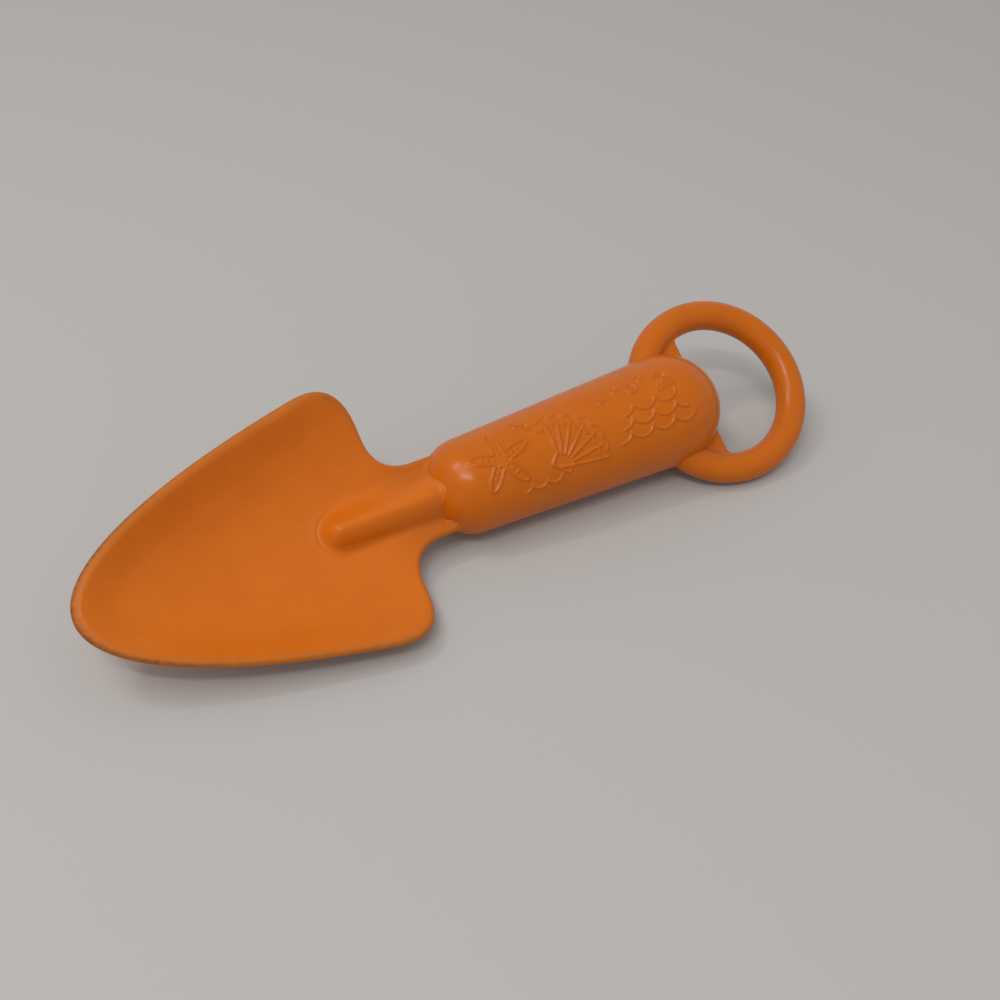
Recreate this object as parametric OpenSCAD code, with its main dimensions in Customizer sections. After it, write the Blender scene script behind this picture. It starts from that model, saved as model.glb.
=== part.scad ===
// Moulded sand shovel: a dished blade with a centre rib, a fat two-shell grip and a pull ring.
// The pieces are drawn along X with the pull ring's centre at zero, then laid down as the shovel rests.

/* [Pull ring] */
// Radius of the ring's centre line
ring_radius = 22; // [20:0.5:26]
// Diameter of the ring's round rod
ring_rod = 8.2; // [7:0.1:9]
// Thickness of the flat web that fills the ring's two inner corners
web_thickness = 3.2; // [2.4:0.1:4]
// Distance from the ring's centre back to the web's straight edge
web_edge = 6; // [5:0.1:7]

/* [Grip] */
// Length of the grip from its round shoulder to the end of its dome
grip_length = 85.8; // [78:0.2:100]
// Distance from the ring's centre back to the end of the dome
dome_setback = 3; // [2:0.5:5]
// Diameter of the round shoulder that the grip tapers from
shoulder_diameter = 24.6; // [23:0.1:26]
// Diameter of the round dome that the grip tapers to
dome_diameter = 30; // [28:0.1:32]
// Wall of the two shells
shell_wall = 2; // [1.6:0.1:2.6]

/* [Blade] */
// Length of the blade from its tip to its back corners
blade_length = 74; // [62:1:88]
// Width of the blade across its back corners, before they are rounded
blade_width = 67; // [58:0.2:74]
// Rounding of the blade's tip
tip_radius = 9; // [7:0.5:11]
// Height of the rim above the neck
rim_rise = 14; // [10:0.2:17]
// Wall of the blade
blade_wall = 2.6; // [2:0.1:3.2]
// How far from the corner its rounding starts
corner_run = 12; // [8:0.5:14]
// How far the corners lie ahead of the notches beside the neck
back_sweep = 3; // [1:0.5:8]
// How steeply the sides of the dish rise, 2 being a parabola
dish_power = 2.2; // [1.8:0.1:3]
// How late the blade's bottom rises to the tip
toe_power = 3; // [2:0.1:4]

/* [Neck and rib] */
// Length of the neck from the notches to the grip's shoulder
neck_length = 9; // [8:0.5:14]
// Width of the neck
neck_width = 20; // [18:0.2:21]
// How far from the notch its rounding starts
notch_run = 9; // [6:0.5:10]
// Length of the rib from its nose to the grip's shoulder
rib_length = 28; // [20:0.5:40]
// Width of the rib
rib_width = 9; // [7:0.5:11]
// Height of the rib above the neck
rib_height = 4.6; // [3:0.1:6]
// Height over which the rib's foot is rounded into the blade
rib_fillet = 1.6; // [0.8:0.1:2.4]

/* [Tang and pegs] */
// Length of the tang inside the grip
tang_length = 36; // [32:1:44]
// Width of the tang
tang_width = 13; // [11:0.5:14]
// Thickness of the tang
tang_thickness = 2.2; // [1.6:0.1:2.4]
// Distance from the shoulder to the first tang peg
first_peg = 14; // [13:0.5:15]
// Distance between the two tang pegs
peg_spacing = 15; // [13:0.5:16]
// Distance from the ring's centre back to the web's peg
web_peg = 12.8; // [12.4:0.1:13.2]
// Diameter of the pegs
peg_diameter = 4; // [3:0.1:4.4]
// Diameter of the bosses that carry and take the pegs
boss_diameter = 8; // [7.4:0.1:8.4]
// Length of a peg above the boss that carries it
peg_length = 8; // [7:0.5:8.5]
// Play round the pegs, the tang, the ring and the neck
fit_gap = 0.1; // [0.05:0.05:0.2]

/* [Hidden] */
$fn = 96;
toy_orange = "darkorange";
peg_root = 1;
rib_border = 1.5;
rib_flank = 3;
reach = 400;
halves = [-1, 1];

// Places along X
dome_end = -dome_setback;
shoulder = dome_end - grip_length;
notch = shoulder - neck_length;
corner = notch - back_sweep;
tip = corner - blade_length;
rib_nose = shoulder - rib_length;

// Taper of the grip between its two round ends
shoulder_radius = shoulder_diameter / 2;
dome_radius = dome_diameter / 2;
shoulder_centre = shoulder + shoulder_radius;
dome_centre = dome_end - dome_radius;
taper = asin((dome_radius - shoulder_radius) / (dome_centre - shoulder_centre));

// Heights: the tang's underside lies on the plane where the shells meet
rim_radius = blade_wall / 2;
neck_mid = tang_thickness / 2;
rim_mid = neck_mid + rim_rise;
web_half = web_thickness / 2;
rod_radius = ring_rod / 2;

// Outline of half of the blade: a conic from the tip, then the corner, the back edge, the notch and the neck
side_steps = 26;
bend_steps = 7;
neck_steps = 4;
neck_end = shoulder_centre;
half_width = blade_width / 2;
conic_bend = (2 * tip_radius * blade_length - pow(half_width, 2)) / pow(blade_length, 2);
function conic_width(d) = sqrt(2 * tip_radius * d - conic_bend * d * d);
function side_point(d) = [tip + d, conic_width(d)];
function ease(t) = t * t * (3 - 2 * t);
function toward(from, to, run) = from + (to - from) * run / norm(to - from);
function bend(a, b, c) =
    [for (i = [1:bend_steps]) let (t = i / bend_steps) a * pow(1 - t, 2) + b * 2 * t * (1 - t) + c * t * t];
side_run = blade_length - corner_run;
corner_point = [corner, half_width];
notch_point = [notch, neck_width / 2];
back_from = toward(corner_point, notch_point, corner_run);
back_to = toward(notch_point, corner_point, notch_run);
neck_from = [notch + notch_run, neck_width / 2];
tip_step = 0.25;
outline = concat(
    [for (i = [0:side_steps]) side_point(tip_step + (side_run - tip_step) * ease(i / side_steps))],
    bend(side_point(side_run), corner_point, back_from),
    [(back_from + back_to) / 2],
    [back_to],
    bend(back_to, notch_point, neck_from),
    [for (i = [1:neck_steps]) [neck_from.x + (neck_end - neck_from.x) * i / neck_steps, neck_width / 2]]
);
rows = len(outline);

// Each row of the blade crosses its centre line at one place and ends on the outline
function centre_x(i) =
    let (turn = rim_point(side_steps).x)
    i <= side_steps ? rim_point(i).x : turn + (neck_end - turn) * (i - side_steps) / (rows - 1 - side_steps);
function row_normal(i) =
    let (a = outline[max(i - 1, 0)], b = outline[min(i + 1, rows - 1)], d = (b - a) / norm(b - a)) [-d.y, d.x];
function rim_point(i) = outline[i] - row_normal(i) * rim_radius;

// Middle surface of the blade, and the rib that stands on it
function along(x) = min(max((notch - x) / (notch - tip), 0), 1);
function bottom_mid(x) = neck_mid + rim_rise * pow(along(x), toe_power);
function dish_width(x) = conic_width(min(max(x - tip, tip_step), blade_length));
function dish_mid(p) =
    let (s = min(abs(p.y) / dish_width(p.x), 1), low = bottom_mid(p.x)) low + (rim_mid - low) * pow(s, dish_power);
function rib_reach(p) = norm([p.y, max(rib_nose + rib_width / 2 - p.x, 0)]) - rib_width / 2;
function rib_crown(p) =
    let (out = rib_reach(p), share = 1 + 2 * out / rib_width)
    out < 0 ? rib_height * sqrt(1 - share * share) : -rib_flank * out;
function rib_rise(p) =
    let (crown = rib_crown(p), soft = max(rib_fillet - abs(crown), 0))
    max(crown, 0) + soft * soft / (4 * rib_fillet);

// Columns across half a row: close together over the rib, wider out to the rim
rib_columns = 8;
side_columns = 5;
half_columns = rib_columns + side_columns;
columns = 2 * half_columns + 1;
function strip_width(i) = min(rib_width / 2 + rib_border, rim_point(i).y * rib_columns / half_columns);
function half_place(i, k) =
    let (rim = rim_point(i), strip = strip_width(i), t = max(k - rib_columns, 0) / side_columns)
    k <= rib_columns ? [centre_x(i), strip * k / rib_columns]
    : [centre_x(i) + (rim.x - centre_x(i)) * t, strip + (rim.y - strip) * t];
function place(i, j) =
    let (k = j - half_columns, p = half_place(i, abs(k))) [p.x, k < 0 ? -p.y : p.y];
function top_point(i, j) = let (p = place(i, j)) [p.x, p.y, dish_mid(p) + rim_radius + rib_rise(p)];
function low_point(i, j) = let (p = place(i, j)) [p.x, p.y, dish_mid(p) - rim_radius];

// The rim runs from one end of the neck round the tip to the other end, as places on the grid
rim_steps = 4;
rim_path = concat(
    [for (i = [rows - 1:-1:0]) [i, 0]],
    [for (j = [1:columns - 2]) [0, j]],
    [for (i = [0:rows - 1]) [i, columns - 1]]
);
rim_count = len(rim_path);
function rim_out(g) =
    let (n = row_normal(g[0]))
    g[1] == 0 ? [n.x, -n.y] : g[1] == columns - 1 ? n : [-1, 0];
function rim_arc(g, m) =
    let (p = place(g[0], g[1]), n = rim_out(g), turn = 90 - 180 * m / rim_steps)
    [p.x + n.x * rim_radius * cos(turn), p.y + n.y * rim_radius * cos(turn), dish_mid(p) + rim_radius * sin(turn)];

// Points and faces of the blade's closed surface
grid_count = rows * columns;
blade_points = concat(
    [for (i = [0:rows - 1]) for (j = [0:columns - 1]) top_point(i, j)],
    [for (i = [0:rows - 1]) for (j = [0:columns - 1]) low_point(i, j)],
    [for (m = [1:rim_steps - 1]) for (g = rim_path) rim_arc(g, m)]
);
function top_index(g) = g[0] * columns + g[1];
function rim_index(q, m) =
    m == 0 ? top_index(rim_path[q])
    : m == rim_steps ? grid_count + top_index(rim_path[q])
    : 2 * grid_count + (m - 1) * rim_count + q;
function split(a, b, c, d) = [[a, b, c], [a, c, d]];
blade_faces = [
    for (i = [0:rows - 2]) for (j = [0:columns - 2])
        let (a = i * columns + j) each split(a, a + 1, a + columns + 1, a + columns),
    for (i = [0:rows - 2]) for (j = [0:columns - 2])
        let (a = grid_count + i * columns + j) each split(a, a + columns, a + columns + 1, a + 1),
    for (q = [0:rim_count - 2]) for (m = [0:rim_steps - 1])
        each split(rim_index(q, m), rim_index(q + 1, m), rim_index(q + 1, m + 1), rim_index(q, m + 1)),
    concat(
        [for (j = [columns - 1:-1:0]) (rows - 1) * columns + j],
        [for (m = [1:rim_steps - 1]) rim_index(0, m)],
        [for (j = [0:columns - 1]) grid_count + (rows - 1) * columns + j],
        [for (m = [rim_steps - 1:-1:1]) rim_index(rim_count - 1, m)]
    )
];

// The shovel lies on the line under its tapered grip, rolled over until the ring's side touches the ground
rest_pitch = taper;
rest_lift = shoulder_radius - sin(rest_pitch) * shoulder_centre;
ring_slope = (rest_lift - rod_radius) / ring_radius;
rest_roll = asin(sqrt(pow(ring_slope, 2) - pow(sin(rest_pitch), 2)) / cos(rest_pitch));

// Middle of the space that the lying shovel takes
function laid_x(p) = p.x * cos(rest_pitch) - (p.y * sin(rest_roll) + p.z * cos(rest_roll)) * sin(rest_pitch);
function laid_y(p) = p.y * cos(rest_roll) - p.z * sin(rest_roll);
rim_line = [for (i = [0:rows - 1]) for (s = halves) let (p = rim_point(i)) [p.x, s * p.y, dish_mid(p)]];
ring_side = ring_radius * cos(rest_roll) + rod_radius;
ring_end = ring_radius * norm([cos(rest_pitch), sin(rest_pitch) * sin(rest_roll)]) + rod_radius;
low_x = min([for (p = rim_line) laid_x(p)]) - rim_radius;
low_y = min(min([for (p = rim_line) laid_y(p)]) - rim_radius, -ring_side);
high_y = max(max([for (p = rim_line) laid_y(p)]) + rim_radius, ring_side);

module laid() {
    translate([-(low_x + ring_end) / 2, -(low_y + high_y) / 2, rest_lift])
        rotate([0, -rest_pitch, 0])
            rotate([rest_roll, 0, 0])
                children();
}

// Tapered grip with a round shoulder and dome, grown or shrunk on every side
module grip_profile(grow) {
    side = [cos(taper), -sin(taper)];
    intersection() {
        translate([0, -reach])
            square([reach, 2 * reach]);
        union() {
            polygon([
                [0, shoulder_centre],
                [0, shoulder_centre] + side * (shoulder_radius + grow),
                [0, dome_centre] + side * (dome_radius + grow),
                [0, dome_centre]
            ]);
            translate([0, shoulder_centre])
                circle(shoulder_radius + grow);
            translate([0, dome_centre])
                circle(dome_radius + grow);
        }
    }
}

// The revolve starts off to one side, clear of the bosses and of the plane where the shells meet
module grip_form(grow = 0) {
    rotate([0, 90, 0])
        rotate(45)
            rotate_extrude()
                grip_profile(grow);
}

// Upright round bar on the grip's centre line
module post(x, diameter, low, high) {
    translate([x, 0, low])
        cylinder(d = diameter, h = high - low);
}

tang_pegs = [shoulder + first_peg, shoulder + first_peg + peg_spacing];

// Ring, with its web, grown on every side
module ring_form(grow = 0) {
    rotate_extrude()
        translate([ring_radius, 0])
            circle(rod_radius + grow);
}

module web_form(grow = 0) {
    translate([0, 0, -web_thickness / 2 - grow])
        linear_extrude(web_thickness + 2 * grow)
            intersection() {
                circle(ring_radius);
                translate([grow - web_edge - reach, -reach / 2])
                    square(reach);
            }
}

// Flat tang, grown on every side
module tang_form(grow = 0) {
    translate([shoulder - neck_length / 2 - grow, -tang_width / 2 - grow, -grow])
        cube([neck_length / 2 + tang_length + 2 * grow, tang_width + 2 * grow, tang_thickness + 2 * grow]);
}

// Hollow of the grip, with the bosses left standing in it: side is 1 for the upper half and -1 for the lower
module hollow(side) {
    difference() {
        grip_form(-shell_wall);
        for (x = tang_pegs)
            boss(x, side, side > 0 ? tang_thickness : 0);
        boss(-web_peg, side, web_half);
    }
}

module boss(x, side, seat) {
    post(x, boss_diameter, side > 0 ? seat : -reach, side > 0 ? reach : -seat);
}

module shell(side) {
    difference() {
        grip_form();
        hollow(side);
        translate([-reach / 2, -reach / 2, side > 0 ? -reach : 0])
            cube(reach);
        ring_form(fit_gap);
        web_form(fit_gap);
    }
}

module blade() {
    color(toy_orange)
        laid()
            difference() {
                union() {
                    difference() {
                        polyhedron(blade_points, blade_faces, 4);
                        grip_form(fit_gap);
                    }
                    tang_form();
                }
                for (x = tang_pegs)
                    post(x, peg_diameter + 2 * fit_gap, -reach / 2, reach / 2);
            }
}

module upper_shell() {
    color(toy_orange)
        laid()
            difference() {
                shell(1);
                tang_form(fit_gap);
                for (x = tang_pegs)
                    post(x, peg_diameter + 2 * fit_gap, 0, peg_length + fit_gap);
                post(-web_peg, peg_diameter + 2 * fit_gap, 0, peg_length - web_half + fit_gap);
            }
}

module lower_shell() {
    color(toy_orange)
        laid() {
            shell(-1);
            for (x = tang_pegs)
                post(x, peg_diameter, -peg_root, peg_length);
            post(-web_peg, peg_diameter, -web_half - peg_root, peg_length - web_half);
        }
}

module pull_ring() {
    color(toy_orange)
        laid()
            difference() {
                union() {
                    ring_form();
                    web_form();
                }
                post(-web_peg, peg_diameter + 2 * fit_gap, -reach / 2, reach / 2);
            }
}

blade();
upper_shell();
lower_shell();
pull_ring();
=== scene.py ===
"""Sand shovel in moulded orange polyethylene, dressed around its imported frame.

The four mouldings are drawn in the shovel's own frame in millimetres: the pull ring's centre is
zero, X runs along the grip towards the ring, and Z points out of the hollow side of the blade. A
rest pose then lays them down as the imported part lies.
"""

import logging
import math
from dataclasses import dataclass, field
from enum import Enum
from typing import Any

import bmesh
import bpy
import numpy as np
from bpy.types import ID, Material, Node, NodeSocket, NodeTree, Object
from mathutils import Matrix, Vector


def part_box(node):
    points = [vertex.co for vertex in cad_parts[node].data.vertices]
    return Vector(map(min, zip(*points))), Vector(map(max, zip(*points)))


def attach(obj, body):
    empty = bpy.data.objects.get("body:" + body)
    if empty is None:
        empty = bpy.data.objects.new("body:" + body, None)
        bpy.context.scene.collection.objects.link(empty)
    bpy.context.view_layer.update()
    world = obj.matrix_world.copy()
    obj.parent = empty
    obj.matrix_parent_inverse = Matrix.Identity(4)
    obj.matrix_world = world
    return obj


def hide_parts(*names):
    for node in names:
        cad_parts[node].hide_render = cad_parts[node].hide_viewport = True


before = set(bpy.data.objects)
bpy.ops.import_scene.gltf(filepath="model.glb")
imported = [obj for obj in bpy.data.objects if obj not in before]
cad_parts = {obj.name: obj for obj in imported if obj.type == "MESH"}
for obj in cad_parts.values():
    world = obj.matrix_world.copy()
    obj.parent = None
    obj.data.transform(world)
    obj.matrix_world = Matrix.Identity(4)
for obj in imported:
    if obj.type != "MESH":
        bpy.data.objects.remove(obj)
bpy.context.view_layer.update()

LOG = logging.getLogger("sand_shovel")
MM = 0.001
MERGE_MM = 0.002
BODY = "root"
# Sockets of a Mix node's colours, whose names it also gives to its other kinds of value.
MIX_A, MIX_B, MIX_OUT = 6, 7, 2

Array = np.ndarray
Links = dict[Any, Any]
Numbers = tuple[float, ...]
Pair = tuple[float, float]
Triple = tuple[float, float, float]
Face = tuple[int, ...]
Coat = tuple[NodeSocket, str]


def linear(colour: str) -> tuple[float, float, float, float]:
    """Turns an sRGB hex colour into linear red, green, blue and alpha.

    Args:
        colour: Six hex digits after a hash sign.

    Returns:
        The linear colour with an alpha of one.
    """
    parts = [int(colour[i:i + 2], 16) / 255 for i in (1, 3, 5)]
    red, green, blue = (
        c / 12.92 if c <= 0.04045 else ((c + 0.055) / 1.055) ** 2.4 for c in parts)
    return red, green, blue, 1.0


def add_node(tree: NodeTree, kind: str, links: Links | None = None, **settings: Any) -> Node:
    """Adds a node with its settings, and links or sets its inputs.

    Args:
        tree: Tree that takes the node.
        kind: Blender's type name of the node.
        links: Input name or number to a socket that feeds it, or to a plain value.
        settings: Properties of the node.

    Returns:
        The new node.
    """
    node = tree.nodes.new(kind)
    for name, value in settings.items():
        setattr(node, name, value)
    for key, value in (links or {}).items():
        if isinstance(value, NodeSocket):
            tree.links.new(value, node.inputs[key])
        else:
            node.inputs[key].default_value = value
    return node


def smooth_step(value: Array, low: float, high: Array | float) -> Array:
    """Eases from 0 at low to 1 at high."""
    t = np.clip((value - low) / (high - low), 0, 1)
    return t * t * (3 - 2 * t)


def soft_min(a: Array, b: Array, blend: Array | float) -> Array:
    """Takes the smaller value, with the corner rounded over the blend."""
    near = np.maximum(blend - np.abs(a - b), 0) / blend
    return np.minimum(a, b) - near ** 2 * blend / 4


@dataclass(frozen=True)
class GripSizes:
    """Sizes of the tapered grip between its two round ends, in millimetres."""

    length: float = 85.8
    setback: float = 3.0
    shoulder_radius: float = 12.3
    dome_radius: float = 15.0
    wall: float = 2.0

    @property
    def dome_centre(self) -> float:
        """Place of the dome's centre along X."""
        return -self.setback - self.dome_radius

    @property
    def shoulder_centre(self) -> float:
        """Place of the shoulder's centre along X."""
        return -self.setback - self.length + self.shoulder_radius

    @property
    def taper(self) -> float:
        """Angle of the grip's side to its axis, in radians."""
        run = self.dome_centre - self.shoulder_centre
        return math.asin((self.dome_radius - self.shoulder_radius) / run)

    def radius_at(self, x: Array) -> Array:
        """Radius of the grip's skin.

        Args:
            x: Places along the grip.

        Returns:
            The radius at each place, and zero past the round ends.
        """
        lean, shoulder, dome = math.sin(self.taper), self.shoulder_radius, self.dome_radius
        ball = np.sqrt(np.maximum(shoulder ** 2 - (x - self.shoulder_centre) ** 2, 0))
        cap = np.sqrt(np.maximum(dome ** 2 - (x - self.dome_centre) ** 2, 0))
        first, last = self.shoulder_centre - shoulder * lean, self.dome_centre - dome * lean
        share = (x - first) / (last - first)
        side = (shoulder + (dome - shoulder) * share) * math.cos(self.taper)
        return np.where(x < first, ball, np.where(x > last, cap, side))


@dataclass(frozen=True)
class RingSizes:
    """Sizes of the pull ring and of the web in its inner corners, in millimetres."""

    radius: float = 22.0
    rod_radius: float = 4.1
    web_half: float = 1.6
    web_edge: float = 6.0


@dataclass(frozen=True)
class RestPose:
    """How the shovel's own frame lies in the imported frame."""

    turn: Array
    origin: Array

    @classmethod
    def from_sizes(cls, grip: GripSizes, ring: RingSizes) -> "RestPose":
        """Finds the pose in which the grip's underside and the ring's near side touch the ground.

        Args:
            grip: Sizes of the grip.
            ring: Sizes of the ring.

        Returns:
            The pose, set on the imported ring's box.
        """
        pitch = grip.taper
        lift = grip.shoulder_radius - math.sin(pitch) * grip.shoulder_centre
        slope = (lift - ring.rod_radius) / ring.radius
        roll = math.asin(math.sqrt(slope ** 2 - math.sin(pitch) ** 2) / math.cos(pitch))
        turn = np.array(Matrix.Rotation(-pitch, 3, "Y") @ Matrix.Rotation(roll, 3, "X"))
        high = np.array(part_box("pull_ring")[1]) / MM
        reach = math.hypot(math.cos(pitch), math.sin(pitch) * math.sin(roll))
        end = ring.radius * reach + ring.rod_radius
        side = ring.radius * math.cos(roll) + ring.rod_radius
        return cls(turn, np.array((high[0] - end, high[1] - side, lift)))

    def place(self, points: Array) -> Array:
        """Takes points from the shovel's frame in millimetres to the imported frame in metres."""
        return (points @ self.turn.T + self.origin) * MM

    def matrix(self) -> Matrix:
        """Gives the pose for a mesh that is already in metres."""
        return Matrix.Translation(Vector(self.origin * MM)) @ Matrix(self.turn.tolist()).to_4x4()


def add_object(name: str, data: ID) -> Object:
    """Puts data into the scene.

    Args:
        name: Name of the object.
        data: Its mesh, lamp or camera.

    Returns:
        The object, at the origin.
    """
    made = bpy.data.objects.new(name, data)
    bpy.context.scene.collection.objects.link(made)
    return made


def new_piece(name: str, points: Array, faces: list[Face]) -> Object:
    """Makes a smooth-shaded piece whose faces point outwards.

    Args:
        name: Name of the piece.
        points: Places of the corners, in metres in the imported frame.
        faces: Corner numbers of each face.

    Returns:
        The piece, linked to the scene.
    """
    mesh = bpy.data.meshes.new(name)
    mesh.from_pydata(points.tolist(), [], faces)
    work = bmesh.new()
    work.from_mesh(mesh)
    bmesh.ops.remove_doubles(work, verts=work.verts, dist=MERGE_MM * MM)
    bmesh.ops.recalc_face_normals(work, faces=work.faces)
    work.to_mesh(mesh)
    work.free()
    mesh.shade_smooth()
    return add_object(name, mesh)


def grid_faces(numbers: Array) -> list[Face]:
    """Joins a grid of corner numbers into four-sided faces."""
    corners = (numbers[:-1, :-1], numbers[:-1, 1:], numbers[1:, 1:], numbers[1:, :-1])
    return [tuple(quad) for quad in np.stack(corners, -1).reshape(-1, 4).tolist()]


def stand_in(piece: Object, node: str) -> None:
    """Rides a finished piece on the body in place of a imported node.

    Args:
        piece: The piece.
        node: Node that it stands for.
    """
    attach(piece, BODY)
    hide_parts(node)


def new_tree(name: str, inputs: dict[str, str], finish: Material
             ) -> tuple[NodeTree, Node, NodeSocket]:
    """Starts a geometry tree that ends with Realize Instances and Set Material.

    Args:
        name: Name of the tree.
        inputs: Input name to socket type.
        finish: Material of the piece.

    Returns:
        The tree, its input node and the socket that takes the shape.
    """
    tree = bpy.data.node_groups.new(name, "GeometryNodeTree")
    tree.interface.new_socket("Geometry", in_out="INPUT", socket_type="NodeSocketGeometry")
    for label, kind in inputs.items():
        tree.interface.new_socket(label, in_out="INPUT", socket_type=kind)
    tree.interface.new_socket("Geometry", in_out="OUTPUT", socket_type="NodeSocketGeometry")
    whole = add_node(tree, "GeometryNodeRealizeInstances")
    dressed = add_node(tree, "GeometryNodeSetMaterial", {
        "Geometry": whole.outputs["Geometry"], "Material": finish})
    add_node(tree, "NodeGroupOutput", {"Geometry": dressed.outputs["Geometry"]})
    return tree, add_node(tree, "NodeGroupInput"), whole.inputs["Geometry"]


def bake_tree(piece: Object, tree: NodeTree, values: dict[str, Any]) -> None:
    """Runs a geometry tree on a piece and keeps its result as a plain mesh.

    Args:
        piece: Piece that takes the result.
        tree: Geometry tree.
        values: Input name to value.
    """
    modifier = piece.modifiers.new(tree.name, "NODES")
    modifier.node_group = tree
    for item in tree.interface.items_tree:
        if item.item_type == "SOCKET" and item.in_out == "INPUT" and item.name in values:
            modifier[item.identifier] = values[item.name]
    bpy.context.view_layer.update()
    graph = bpy.context.evaluated_depsgraph_get()
    result = bpy.data.meshes.new_from_object(piece.evaluated_get(graph))
    piece.modifiers.remove(modifier)
    result.name = piece.name
    piece.data = result


@dataclass(frozen=True)
class WearLevel:
    """How strong the scuffs, roughness and mirrored light are, and whether the blade has dust, soil
    and painted shade.
    """

    scuffs: float
    roughness: float
    specular: float
    soiled_and_shaded: bool


class Wear(Enum):
    """How far use has marked a moulding."""

    HANDLED = WearLevel(scuffs=0.2, roughness=0.24, specular=0.22, soiled_and_shaded=False)
    SCRAPED = WearLevel(scuffs=1.0, roughness=0.36, specular=0.25, soiled_and_shaded=True)


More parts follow.
